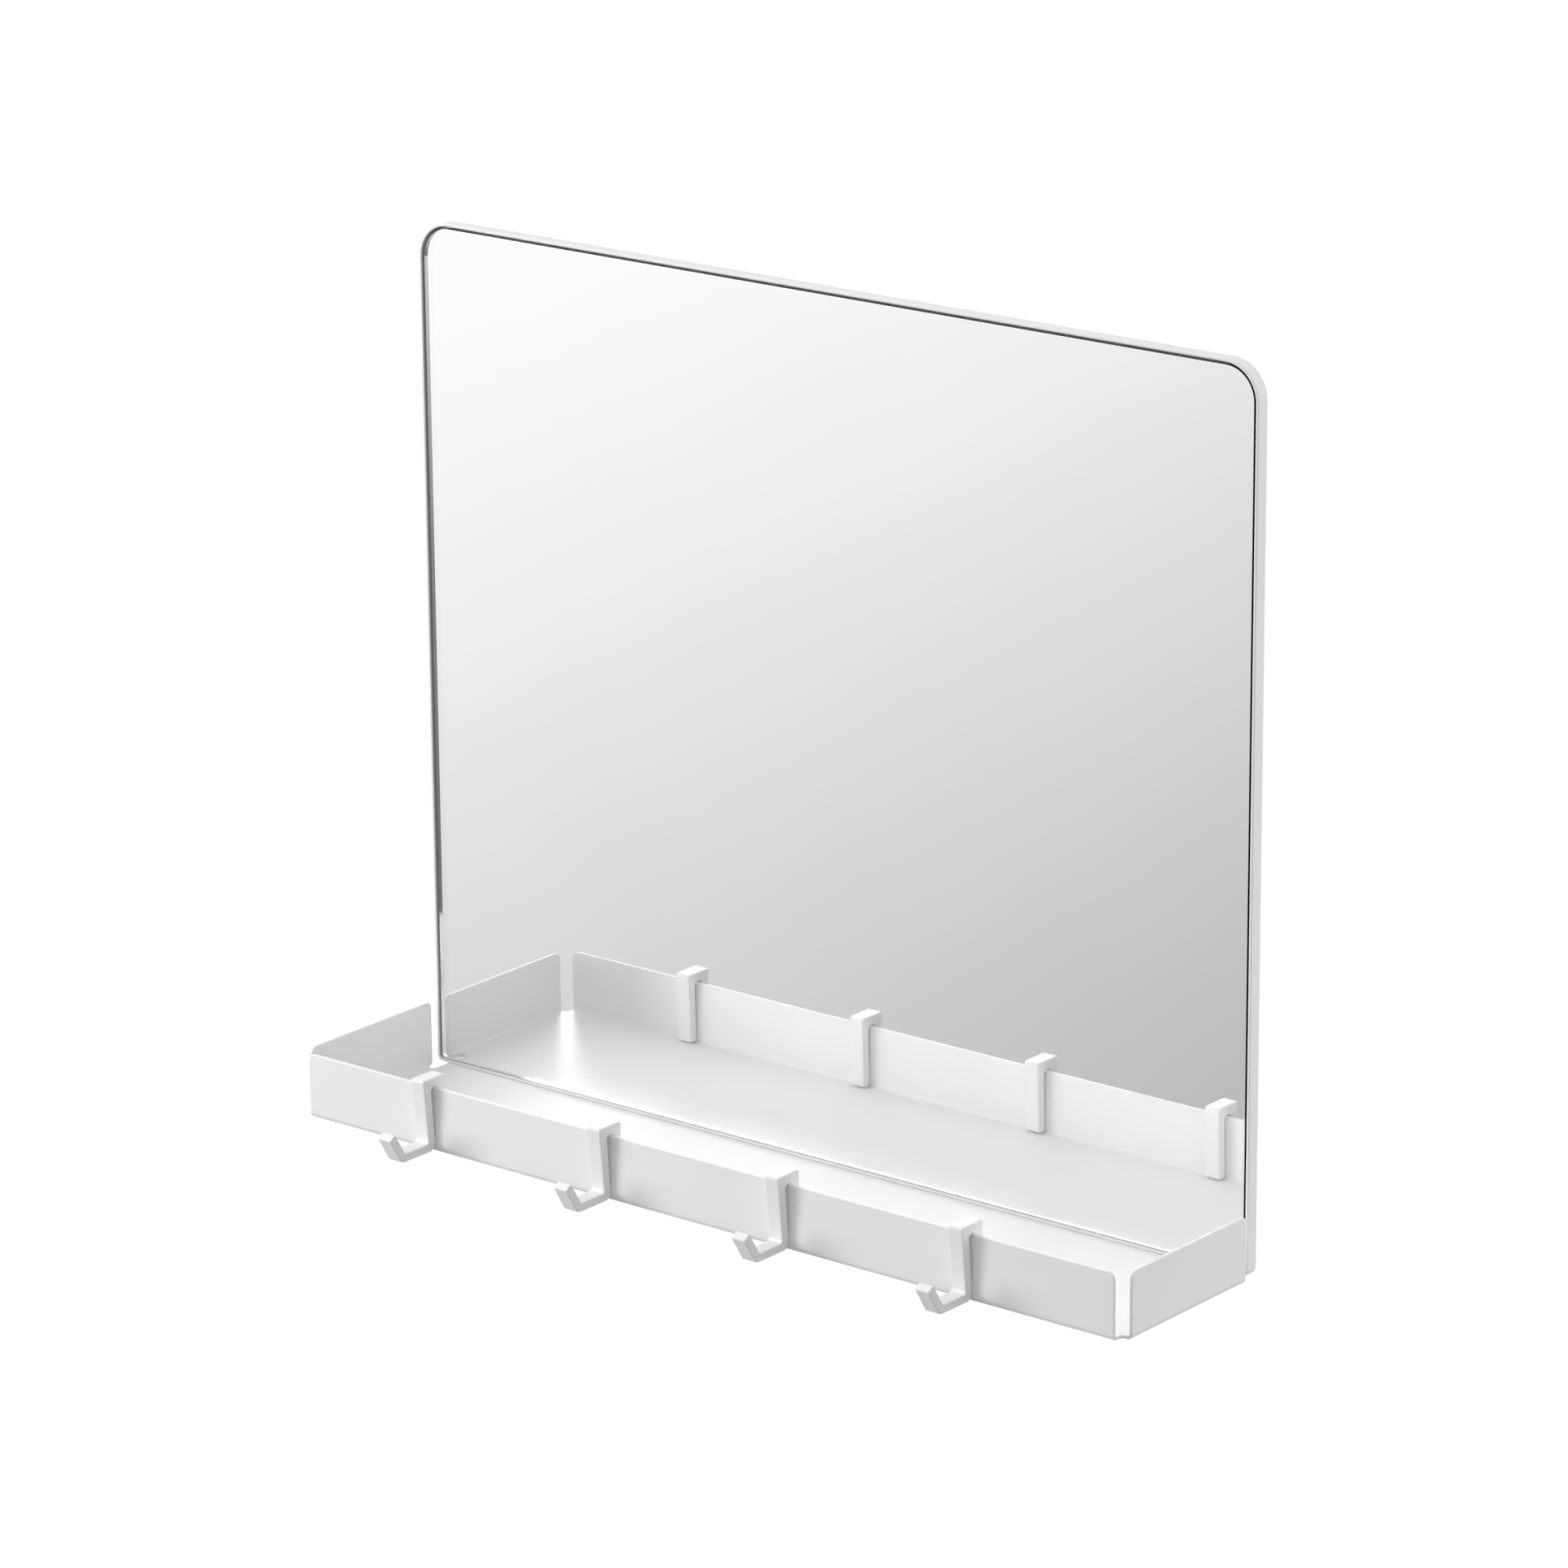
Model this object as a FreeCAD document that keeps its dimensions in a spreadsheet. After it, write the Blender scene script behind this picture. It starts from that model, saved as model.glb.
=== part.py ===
"""Locker mirror: silvered glass in a steel pan, a bent steel tray below it and four sliding hooks.

Millimetres. The origin is the centre of the mounting face: X runs along the tray, +Y points into the
locker door, +Z is up.
"""
import FreeCAD, Part
import math
import os
import Sketcher

# Driving dimensions, as name and value
SIZES = [
    # Tray, one bent sheet
    ("tray_width", 300.0),
    ("tray_wall_height", 20.0),
    ("tray_side_depth", 57.0),
    ("tray_sheet", 1.0),
    ("tray_bend_radius", 0.8),
    ("tray_front_end_gap", 3.3),
    ("tray_side_end_gap", 3.8),
    ("tray_corner_radius", 2.5),
    ("tray_rear_corner_radius", 1.0),
    ("tray_rear_top_radius", 1.8),
    ("tray_relief_width", 4.6),
    ("tray_relief_depth", 4.6),
    ("tray_relief_radius", 1.5),
    ("tray_relief_slant_width", 2.4),
    ("tray_relief_slant_depth", 3.6),
    ("tray_flange_height", 28.0),
    ("tray_flange_corner_radius", 4.0),
    ("tray_inner_corner_radius", 1.2),
    ("tray_edge_round", 0.4),
    ("tray_to_pan_gap", 2.2),
    # Pan that holds the glass
    ("pan_width", 298.0),
    ("pan_height", 259.0),
    ("pan_depth", 5.0),
    ("pan_sheet", 1.0),
    ("pan_top_corner_radius", 15.0),
    ("pan_bottom_corner_radius", 2.0),
    ("pan_back_edge_radius", 1.2),
    ("pan_crest_round", 0.4),
    # Glass and the layers behind it
    ("glass_gap", 0.8),
    ("glass_foot_gap", 0.1),
    ("glass_thickness", 2.0),
    ("glass_seam", 0.4),
    ("glass_bottom_corner_radius", 1.5),
    ("silver_thickness", 0.1),
    ("shatter_film_thickness", 0.2),
    ("foam_tape_thickness", 1.6),
    ("foam_tape_width", 20.0),
    ("foam_tape_length", 200.0),
    ("foam_tape_side_margin", 40.0),
    ("foam_tape_corner_radius", 1.0),
    # Rubber magnets and their adhesive film
    ("magnet_width", 80.0),
    ("magnet_height", 200.0),
    ("magnet_thickness", 3.0),
    ("magnet_corner_radius", 4.0),
    ("magnet_side_margin", 14.0),
    ("magnet_film_thickness", 0.2),
    ("magnet_centre_height", 145.0),
    # Screws through the tray's flange into collars drawn in the pan
    ("screw_side_margin", 36.5),
    ("screw_height", 16.0),
    ("screw_shank_diameter", 2.8),
    ("screw_head_diameter", 5.6),
    ("screw_head_height", 1.6),
    ("screw_head_round", 0.7),
    ("screw_thread_clearance", 0.05),
    ("screw_flange_clearance", 0.3),
    ("screw_collar_wall", 0.9),
    ("screw_collar_clearance", 0.1),
    # Hooks astride the front wall
    ("hook_width", 5.0),
    ("hook_clearance", 0.1),
    ("hook_bridge_thickness", 3.0),
    ("hook_front_leg_top", 3.4),
    ("hook_front_leg_foot", 2.9),
    ("hook_rear_leg_top", 3.1),
    ("hook_rear_leg_foot", 3.0),
    ("hook_slot_front", 1.5),
    ("hook_slot_rear", 0.7),
    ("hook_foot_gap", 0.3),
    ("hook_pinch_height", 4.4),
    ("hook_underside_height", 0.8),
    ("hook_arm_thickness", 2.6),
    ("hook_arm_reach", 13.1),
    ("hook_tip_length", 8.2),
    ("hook_tip_thickness", 2.75),
    ("hook_tip_angle", 58.5),
    ("hook_slot_radius", 1.2),
    ("hook_foot_radius", 1.2),
    ("hook_heel_radius", 2.4),
    ("hook_toe_radius", 2.5),
    ("hook_bend_radius", 0.8),
    ("hook_top_radius", 0.8),
    ("hook_tip_radius", 0.55),
    ("hook_edge_round", 0.4),
    ("hook_1_place", -99.6),
    ("hook_2_place", -32.9),
    ("hook_3_place", 32.1),
    ("hook_4_place", 96.4),
]

# Places worked out from the driving dimensions
STANDOFF = "(sizes.magnet_thickness + sizes.magnet_film_thickness)"
PAN_BACK = f"(-{STANDOFF})"
PAN_FLOOR = f"({PAN_BACK} - sizes.pan_sheet)"
TAPE_FRONT = f"({PAN_FLOOR} - sizes.foam_tape_thickness)"
FILM_FRONT = f"({TAPE_FRONT} - sizes.shatter_film_thickness)"
SILVER_FRONT = f"({FILM_FRONT} - sizes.silver_thickness)"
UNDERSIDE = "(-sizes.magnet_centre_height)"
PAN_BOTTOM = f"({UNDERSIDE} + sizes.tray_sheet)"
TRAY_RUN = "(sizes.tray_side_depth + sizes.tray_to_pan_gap + sizes.pan_depth)"
TRAY_FRONT = f"({PAN_BACK} - {TRAY_RUN})"

FLANGE_HOLE_RADIUS = "(sizes.screw_shank_diameter / 2 + sizes.screw_flange_clearance)"
PAN_BORE_RADIUS = "(sizes.screw_shank_diameter / 2 + sizes.screw_thread_clearance)"
COLLAR_HEIGHT = "(sizes.foam_tape_thickness - sizes.screw_collar_clearance)"

# How many of each repeated piece, and how far apart they stand across the pan
SCREW_COUNT = 4
TAPE_COUNT = 4
HOOK_COUNT = 4
SCREW_SPACING = f"((sizes.pan_width - 2 * sizes.screw_side_margin) / ({SCREW_COUNT} - 1))"
TAPE_RUN = "(sizes.pan_width - 2 * sizes.foam_tape_side_margin - sizes.foam_tape_width)"
TAPE_SPACING = f"({TAPE_RUN} / ({TAPE_COUNT} - 1))"
MAGNET_SPACING = "(sizes.pan_width / 2 - sizes.magnet_side_margin - sizes.magnet_width / 2)"

doc = FreeCAD.newDocument("locker_mirror")
sizes = doc.addObject("Spreadsheet::Sheet", "sizes")
for row, (name, size) in enumerate(SIZES, 1):
    sizes.set(f"A{row}", name)
    sizes.set(f"B{row}", str(size))
    sizes.setAlias(f"B{row}", name)
doc.recompute()

pieces = []


def value(expression):
    """The number that an expression in the sheet's names comes to."""
    return float(sizes.evalExpression(expression))


def screw_place(index):
    """Where a screw of the row stands along X."""
    return f"({index} - ({SCREW_COUNT} - 1) / 2) * {SCREW_SPACING}"


def new_body(label, x="0", y="0", z="0"):
    """A body placed by three expressions; its label names the piece."""
    body = doc.addObject("PartDesign::Body", label)
    body.Label = label
    for axis, expression in zip("xyz", (x, y, z)):
        body.setExpression(f"Placement.Base.{axis}", expression)
    pieces.append(body)
    return body


def new_sketch(body, role, name, shift="0"):
    """A sketch on one of the body's origin planes, shifted along the plane's normal."""
    sketch = body.newObject("Sketcher::SketchObject", name)
    plane = next(item for item in body.Origin.OriginFeatures if item.Role == role)
    sketch.AttachmentSupport = [(plane, "")]
    sketch.MapMode = "FlatFace"
    sketch.setExpression("AttachmentOffset.Base.z", shift)
    return sketch


def draw_outline(sketch, corners):
    """Closed outline of straight lines; each corner is a pair of expressions."""
    first = sketch.GeometryCount
    count = len(corners)
    points = [FreeCAD.Vector(value(across), value(up), 0) for across, up in corners]
    for index in range(count):
        sketch.addGeometry(Part.LineSegment(points[index], points[(index + 1) % count]))
    for index in range(count):
        following = first + (index + 1) % count
        sketch.addConstraint(Sketcher.Constraint("Coincident", first + index, 2, following, 1))
    for line, (across, up) in enumerate(corners, first):
        bind(sketch, [("DistanceX", -1, 1, line, 1, across), ("DistanceY", -1, 1, line, 1, up)])


def draw_circle(sketch, across, up, radius):
    """Circle whose centre and radius are expressions."""
    centre = FreeCAD.Vector(value(across), value(up), 0)
    circle = sketch.addGeometry(Part.Circle(centre, FreeCAD.Vector(0, 0, 1), value(radius)))
    bind(sketch, [
        ("DistanceX", -1, 1, circle, 3, across),
        ("DistanceY", -1, 1, circle, 3, up),
        ("Radius", circle, radius),
    ])


def draw_round_corner(sketch, along, up, radius, side):
    """Outline of the waste outside a round corner that faces along, and up for side "+" or down for "-"."""
    turn = 1 if side == "+" else -1
    size = value(radius)
    centre = FreeCAD.Vector(value(along) - size, value(up) - turn * size, 0)
    circle = Part.Circle(centre, FreeCAD.Vector(0, 0, 1), size)
    angles = (0, math.pi / 2) if side == "+" else (-math.pi / 2, 0)
    arc = sketch.addGeometry(Part.ArcOfCircle(circle, *angles))
    far_end, near_end = (1, 2) if side == "+" else (2, 1)
    past = f"({along} + {radius})"
    before = f"({along} - {radius})"
    outside = f"({up} {side} {radius})"
    inside = f"({up} - {turn} * {radius})"
    stops = [(along, inside), (past, inside), (past, outside), (before, outside), (before, up)]
    points = [FreeCAD.Vector(value(across), value(high), 0) for across, high in stops]
    lines = [sketch.addGeometry(Part.LineSegment(*ends)) for ends in zip(points, points[1:])]
    sketch.addConstraint(Sketcher.Constraint("Coincident", arc, far_end, lines[0], 1))
    for line, following in zip(lines, lines[1:]):
        sketch.addConstraint(Sketcher.Constraint("Coincident", line, 2, following, 1))
    sketch.addConstraint(Sketcher.Constraint("Coincident", lines[-1], 2, arc, near_end))
    rules = [("Radius", arc, radius)]
    for line, (across, high) in zip(lines, stops):
        rules += [("DistanceX", -1, 1, line, 1, across), ("DistanceY", -1, 1, line, 1, high)]
    rules += [("DistanceX", -1, 1, arc, near_end, before), ("DistanceY", -1, 1, arc, near_end, up)]
    bind(sketch, rules)


def bind(sketch, rules):
    """Adds constraints, each a tuple that ends in the expression for its size."""
    for *rule, expression in rules:
        number = sketch.addConstraint(Sketcher.Constraint(*rule, value(expression)))
        sketch.setExpression(f"Constraints[{number}]", expression)


def rectangle(left, right, low, high):
    """Corners of a rectangle, as expressions."""
    return [(left, low), (right, low), (right, high), (left, high)]


def extrude(body, kind, sketch, length, side="One side", reverse=False):
    """Pad or pocket of a sketch by a length given as an expression."""
    feature = body.newObject(f"PartDesign::{kind}", f"{sketch.Name}_{kind.lower()}")
    feature.Profile = sketch
    feature.SideType = side
    feature.Reversed = reverse
    feature.setExpression("Length", length)
    doc.recompute()
    return feature


def dress(body, kind, base, edges, size, name):
    """Fillet or chamfer of the named edges of the feature before it."""
    feature = body.newObject(f"PartDesign::{kind}", f"{body.Name}_{name}")
    feature.Base = (base, edges)
    feature.setExpression("Radius" if kind == "Fillet" else "Size", size)
    doc.recompute()
    return feature


def pick_edges(feature, along="", **places):
    """Names of edges that lie at the given places and, if asked, run along one axis."""
    chosen = []
    for number, edge in enumerate(feature.Shape.Edges, 1):
        box = edge.BoundBox
        low = {"x": box.XMin, "y": box.YMin, "z": box.ZMin}
        high = {"x": box.XMax, "y": box.YMax, "z": box.ZMax}
        flat = all(abs(low[axis] - at) < 0.01 and abs(high[axis] - at) < 0.01 for axis, at in places.items())
        straight = all(high[axis] - low[axis] < 0.01 for axis in "xyz" if axis != along) if along else True
        if flat and straight:
            chosen.append(f"Edge{number}")
    return chosen


def make_tray():
    """Tray: floor, side walls and front wall with open corners, and a flange up the back of the pan."""
    body = new_body("tray", y=TRAY_FRONT, z=UNDERSIDE)
    half = "(sizes.tray_width / 2)"
    inside = f"({half} - sizes.tray_sheet)"
    sheet = "sizes.tray_sheet"
    top = "sizes.tray_wall_height"
    depth = "sizes.tray_side_depth"
    floor_end = f"({depth} - sizes.tray_relief_depth)"
    floor_middle = f"({floor_end} / 2)"
    rear_face = f"({TRAY_RUN} + {sheet})"
    front_width = "(sizes.tray_width - 2 * sizes.tray_front_end_gap)"
    rear_width = f"(2 * ({inside} - sizes.tray_relief_width))"
    inner_bend = "sizes.tray_bend_radius"
    outer_bend = f"({inner_bend} + {sheet})"

    # Floor and side walls, one channel along Y
    channel = new_sketch(body, "XZ_Plane", "tray_channel", "-sizes.tray_side_end_gap")
    draw_outline(channel, [
        (f"-{half}", "0"), (half, "0"), (half, top), (inside, top),
        (inside, sheet), (f"-{inside}", sheet), (f"-{inside}", top), (f"-{half}", top),
    ])
    shape = extrude(body, "Pad", channel, f"{depth} - sizes.tray_side_end_gap", reverse=True)
    outer = pick_edges(shape, "y", x=-value(half), z=0) + pick_edges(shape, "y", x=value(half), z=0)
    shape = dress(body, "Fillet", shape, outer, outer_bend, "outer_side_bends")
    low = value(sheet)
    inner = pick_edges(shape, "y", x=-value(inside), z=low) + pick_edges(shape, "y", x=value(inside), z=low)
    shape = dress(body, "Fillet", shape, inner, inner_bend, "inner_side_bends")

    # Floor cut short between the side walls on a slant, then the walls' round rear lower corners
    slant_side = f"({inside} - sizes.tray_relief_slant_width)"
    slant_end = f"({floor_end} + sizes.tray_relief_slant_depth)"
    floor_cut = new_sketch(body, "XY_Plane", "tray_floor_cut")
    draw_outline(floor_cut, [
        (f"-{slant_side}", floor_end), (slant_side, floor_end), (inside, slant_end), (inside, TRAY_RUN),
        (f"-{inside}", TRAY_RUN), (f"-{inside}", slant_end),
    ])
    extrude(body, "Pocket", floor_cut, top, reverse=True)
    corner_cut = new_sketch(body, "YZ_Plane", "tray_corner_cut")
    draw_round_corner(corner_cut, depth, "0", "sizes.tray_rear_corner_radius", "-")
    extrude(body, "Pocket", corner_cut, "sizes.tray_width * 2", side="Symmetric")

    # Front wall
    front = new_sketch(body, "YZ_Plane", "tray_front")
    draw_outline(front, [
        ("0", "0"), (floor_middle, "0"), (floor_middle, sheet), (sheet, sheet), (sheet, top), ("0", top),
    ])
    shape = extrude(body, "Pad", front, front_width, side="Symmetric")
    shape = dress(body, "Fillet", shape, pick_edges(shape, "x", y=0, z=0), outer_bend, "outer_front_bend")
    shape = dress(body, "Fillet", shape, pick_edges(shape, "x", y=low, z=low), inner_bend, "inner_front_bend")

    # Floor run under the pan and flange up its back
    rear = new_sketch(body, "YZ_Plane", "tray_rear")
    flange_top = "sizes.tray_flange_height"
    draw_outline(rear, [
        (floor_middle, "0"), (rear_face, "0"), (rear_face, flange_top), (TRAY_RUN, flange_top),
        (TRAY_RUN, sheet), (floor_middle, sheet),
    ])
    shape = extrude(body, "Pad", rear, rear_width, side="Symmetric")
    rear_low = pick_edges(shape, "x", y=value(rear_face), z=0)
    shape = dress(body, "Fillet", shape, rear_low, outer_bend, "outer_rear_bend")
    rear_inner = pick_edges(shape, "x", y=value(TRAY_RUN), z=low)
    shape = dress(body, "Fillet", shape, rear_inner, inner_bend, "inner_rear_bend")

    # Round inner corners of the relief slots, then the corners of the flange and the walls' front ends
    slot_ends = []
    for side in (-1, 1):
        slot_ends += pick_edges(shape, "z", x=side * value(rear_width) / 2, y=value(floor_end))
    shape = dress(body, "Fillet", shape, slot_ends, "sizes.tray_relief_radius", "relief_ends")
    flange_tops = []
    for side in (-1, 1):
        flange_tops += pick_edges(shape, "y", x=side * value(rear_width) / 2, z=value(flange_top))
    shape = dress(body, "Fillet", shape, flange_tops, "sizes.tray_flange_corner_radius", "flange_corners")
    high = value(top)
    side_end = value("sizes.tray_side_end_gap")
    wall_tops = pick_edges(shape, "x", y=side_end, z=high)
    for side in (-1, 1):
        wall_tops += pick_edges(shape, "y", x=side * value(front_width) / 2, z=high)
    shape = dress(body, "Fillet", shape, wall_tops, "sizes.tray_corner_radius", "wall_corners")
    inner_corners = []
    for side in (-1, 1):
        inner_corners += pick_edges(shape, "z", x=side * value(front_width) / 2, y=side_end)
    shape = dress(body, "Fillet", shape, inner_corners, "sizes.tray_inner_corner_radius", "inner_corners")

    # Coated edge of the sheet, round both sides from the front wall's top to the side walls' rear ends
    rim = pick_edges(shape, "x", y=0, z=high) + pick_edges(shape, "x", y=low, z=high)
    dress(body, "Fillet", shape, rim, "sizes.tray_edge_round", "rim")
    top_cut = new_sketch(body, "YZ_Plane", "tray_top_corner_cut")
    draw_round_corner(top_cut, depth, top, "sizes.tray_rear_top_radius", "+")
    extrude(body, "Pocket", top_cut, "sizes.tray_width * 2", side="Symmetric")

    # Screw holes in the flange
    holes = new_sketch(body, "XZ_Plane", "tray_screw_holes", f"-{TRAY_RUN}")
    for index in range(SCREW_COUNT):
        draw_circle(holes, screw_place(index), "sizes.screw_height", FLANGE_HOLE_RADIUS)
    extrude(body, "Pocket", holes, f"{sheet} * 2")


def make_back_pan():
    """Pan: a plate with a drawn lip all round, and drawn collars for the flange's screws."""
    body = new_body("back_pan", y=PAN_BACK, z=PAN_BOTTOM)
    half = "(sizes.pan_width / 2)"
    outline = new_sketch(body, "XZ_Plane", "pan_outline")
    draw_outline(outline, rectangle(f"-{half}", half, "0", "sizes.pan_height"))
    shape = extrude(body, "Pad", outline, "sizes.pan_depth")
    shape = round_corners(body, shape, half, "sizes.pan_height", "sizes.pan_top_corner_radius", "top_corners")
    shape = round_corners(body, shape, half, "0", "sizes.pan_bottom_corner_radius", "bottom_corners")
    shape = dress(body, "Fillet", shape, pick_edges(shape, y=0), "sizes.pan_back_edge_radius", "back_edge")

    # Hollow from the front, one sheet thick
    crest = -value("sizes.pan_depth")
    hollow = body.newObject("PartDesign::Thickness", "pan_hollow")
    faces = enumerate(shape.Shape.Faces, 1)
    fronts = [f"Face{number}" for number, face in faces if face.BoundBox.YMax < crest + 0.01]
    hollow.Base = (shape, fronts)
    hollow.setExpression("Value", "sizes.pan_sheet")
    hollow.Reversed = True
    doc.recompute()
    shape = dress(body, "Fillet", hollow, pick_edges(hollow, y=crest), "sizes.pan_crest_round", "crest")

    # Collars and their threaded holes, drawn here as plain bores
    collars = new_sketch(body, "XZ_Plane", "pan_collars", "sizes.pan_sheet")
    bores = new_sketch(body, "XZ_Plane", "pan_bores")
    up = "(sizes.screw_height - sizes.tray_sheet)"
    for index in range(SCREW_COUNT):
        draw_circle(collars, screw_place(index), up, f"{PAN_BORE_RADIUS} + sizes.screw_collar_wall")
        draw_circle(bores, screw_place(index), up, PAN_BORE_RADIUS)
    extrude(body, "Pad", collars, COLLAR_HEIGHT)
    extrude(body, "Pocket", bores, "sizes.pan_depth", reverse=True)


def round_corners(body, shape, half, up, radius, name):
    """Rounds the two corners of an outline that stand at one height."""
    edges = []
    for side in (-1, 1):
        edges += pick_edges(shape, "y", x=side * value(half), z=value(up))
    return dress(body, "Fillet", shape, edges, radius, name)


def make_sheet(label, place, width, height, thickness, top_radius, bottom_radius):
    """Flat piece that stands upright, centred on its place and grown forwards from its back face."""
    body = new_body(label, *place)
    half = f"({width} / 2)"
    outline = new_sketch(body, "XZ_Plane", f"{label}_outline")
    draw_outline(outline, rectangle(f"-{half}", half, f"-{height} / 2", f"{height} / 2"))
    shape = extrude(body, "Pad", outline, thickness)
    shape = round_corners(body, shape, half, f"{height} / 2", top_radius, "top_corners")
    return body, round_corners(body, shape, half, f"-{height} / 2", bottom_radius, "bottom_corners")


def make_mirror():
    """Glass with seamed edges, its silver coat and its film, all of one outline, on the pan's lower lip."""
    inset = "(sizes.pan_sheet + sizes.glass_gap)"
    foot = "(sizes.pan_sheet + sizes.glass_foot_gap)"
    width = f"(sizes.pan_width - 2 * {inset})"
    height = f"(sizes.pan_height - {inset} - {foot})"
    middle = f"{PAN_BOTTOM} + {foot} + {height} / 2"
    top_radius = f"(sizes.pan_top_corner_radius - {inset})"
    layers = (
        ("shatter_film", TAPE_FRONT, "sizes.shatter_film_thickness"),
        ("silver_coat", FILM_FRONT, "sizes.silver_thickness"),
        ("mirror_glass", SILVER_FRONT, "sizes.glass_thickness"),
    )
    for label, back, thickness in layers:
        place = ("0", back, middle)
        radii = (top_radius, "sizes.glass_bottom_corner_radius")
        body, shape = make_sheet(label, place, width, height, thickness, *radii)
    front_edges = pick_edges(shape, y=-value("sizes.glass_thickness"))
    dress(body, "Chamfer", shape, front_edges, "sizes.glass_seam", "seam")


def make_foam_tapes():
    """Upright strips of double-sided foam tape between the film and the pan."""
    middle = f"{PAN_BOTTOM} + sizes.pan_height / 2"
    radii = ("sizes.foam_tape_corner_radius", "sizes.foam_tape_corner_radius")
    size = ("sizes.foam_tape_width", "sizes.foam_tape_length", "sizes.foam_tape_thickness")
    for index in range(TAPE_COUNT):
        across = f"({index} - ({TAPE_COUNT} - 1) / 2) * {TAPE_SPACING}"
        make_sheet(f"foam_tape_{index + 1}", (across, PAN_FLOOR, middle), *size, *radii)


def make_magnets():
    """Rubber magnets on the back of the pan, each on its adhesive film."""
    radii = ("sizes.magnet_corner_radius", "sizes.magnet_corner_radius")
    outline = ("sizes.magnet_width", "sizes.magnet_height")
    film_back = "-sizes.magnet_thickness"
    for side, across in (("left", f"-{MAGNET_SPACING}"), ("centre", "0"), ("right", MAGNET_SPACING)):
        magnet_size = (*outline, "sizes.magnet_thickness")
        make_sheet(f"magnet_{side}", (across, "0", "0"), *magnet_size, *radii)
        film_size = (*outline, "sizes.magnet_film_thickness")
        make_sheet(f"magnet_film_{side}", (across, film_back, "0"), *film_size, *radii)


def make_flange_screws():
    """Low-headed screws, turned about Y and repeated along the flange."""
    flange_back = f"{PAN_BACK} + sizes.tray_sheet"
    body = new_body("flange_screws", screw_place(0), flange_back, f"{UNDERSIDE} + sizes.screw_height")
    shank = "(sizes.screw_shank_diameter / 2)"
    head = "(sizes.screw_head_diameter / 2)"
    length = f"(sizes.tray_sheet + sizes.pan_sheet + {COLLAR_HEIGHT})"
    profile = new_sketch(body, "XY_Plane", "screw_profile")
    draw_outline(profile, [
        ("0", f"-{length}"), (shank, f"-{length}"), (shank, "0"), (head, "0"),
        (head, "sizes.screw_head_height"), ("0", "sizes.screw_head_height"),
    ])
    turned = body.newObject("PartDesign::Revolution", "screw_turned")
    turned.Profile = profile
    turned.ReferenceAxis = (profile, ["V_Axis"])
    turned.Angle = 360
    doc.recompute()
    rim = pick_edges(turned, y=value("sizes.screw_head_height"))
    shape = dress(body, "Fillet", turned, rim, "sizes.screw_head_round", "head_rim")
    row = body.newObject("PartDesign::LinearPattern", "screw_row")
    row.Originals = [turned, shape]
    row.Direction = (next(item for item in body.Origin.OriginFeatures if item.Role == "X_Axis"), [""])
    row.Occurrences = SCREW_COUNT
    row.setExpression("Length", f"({SCREW_COUNT} - 1) * {SCREW_SPACING}")
    body.Tip = row
    doc.recompute()


def hook_corners():
    """Corners of the hook's side view: place along Y from the wall's outer face, height, radius."""
    slot_top = "(sizes.tray_wall_height + sizes.hook_clearance)"
    top = f"({slot_top} + sizes.hook_bridge_thickness)"
    front_foot = "(-sizes.hook_clearance)"
    rear_top = "(sizes.tray_sheet + sizes.hook_slot_rear)"
    rear_foot = "(sizes.tray_sheet + sizes.hook_clearance)"
    foot = "(sizes.tray_sheet + sizes.hook_foot_gap)"
    under = "sizes.hook_underside_height"
    arm_top = f"({under} + sizes.hook_arm_thickness)"
    reach = "(-sizes.hook_arm_reach)"
    run = "cos(sizes.hook_tip_angle)"
    rise = "sin(sizes.hook_tip_angle)"
    tip_y = f"({reach} - sizes.hook_tip_length * {run})"
    tip_z = f"({arm_top} + sizes.hook_tip_length * {rise})"
    toe = f"({reach} + (sizes.hook_arm_thickness * {run} - sizes.hook_tip_thickness) / {rise})"
    return [
        ("-sizes.hook_slot_front", slot_top, "sizes.hook_slot_radius"),
        (rear_top, slot_top, "sizes.hook_slot_radius"),
        (rear_foot, foot, "sizes.hook_foot_radius"),
        (f"{rear_foot} + sizes.hook_rear_leg_foot", foot, "sizes.hook_top_radius"),
        (f"{rear_top} + sizes.hook_rear_leg_top", top, "sizes.hook_top_radius"),
        ("-sizes.hook_slot_front - sizes.hook_front_leg_top", top, "sizes.hook_top_radius"),
        (f"{front_foot} - sizes.hook_front_leg_foot", arm_top, "sizes.hook_bend_radius"),
        (reach, arm_top, "sizes.hook_tip_radius"),
        (tip_y, tip_z, "sizes.hook_tip_radius"),
        (f"{tip_y} - sizes.hook_tip_thickness * {rise}", f"{tip_z} - sizes.hook_tip_thickness * {run}",
         "sizes.hook_tip_radius"),
        (toe, under, "sizes.hook_toe_radius"),
        (front_foot, under, "sizes.hook_heel_radius"),
        (front_foot, "sizes.hook_pinch_height", None),
    ]


def make_hooks():
    """Clip-on hooks: two legs that close on the wall at their feet, an arm and an upturned tip."""
    corners = hook_corners()
    radii = sorted({radius for *_, radius in corners if radius})
    for number in range(1, HOOK_COUNT + 1):
        label = f"hook_{number}"
        body = new_body(label, f"sizes.{label}_place", TRAY_FRONT, UNDERSIDE)
        side_view = new_sketch(body, "YZ_Plane", f"{label}_side_view")
        draw_outline(side_view, [(along, up) for along, up, _ in corners])
        shape = extrude(body, "Pad", side_view, "sizes.hook_width", side="Symmetric")
        for radius in radii:
            edges = []
            for along, up, corner_radius in corners:
                if corner_radius == radius:
                    edges += pick_edges(shape, "x", y=value(along), z=value(up))
            shape = dress(body, "Fillet", shape, edges, radius, radius.split("hook_")[1])
        half = value("sizes.hook_width / 2")
        rims = pick_edges(shape, x=-half) + pick_edges(shape, x=half)
        dress(body, "Fillet", shape, rims, "sizes.hook_edge_round", "rims")


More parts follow.
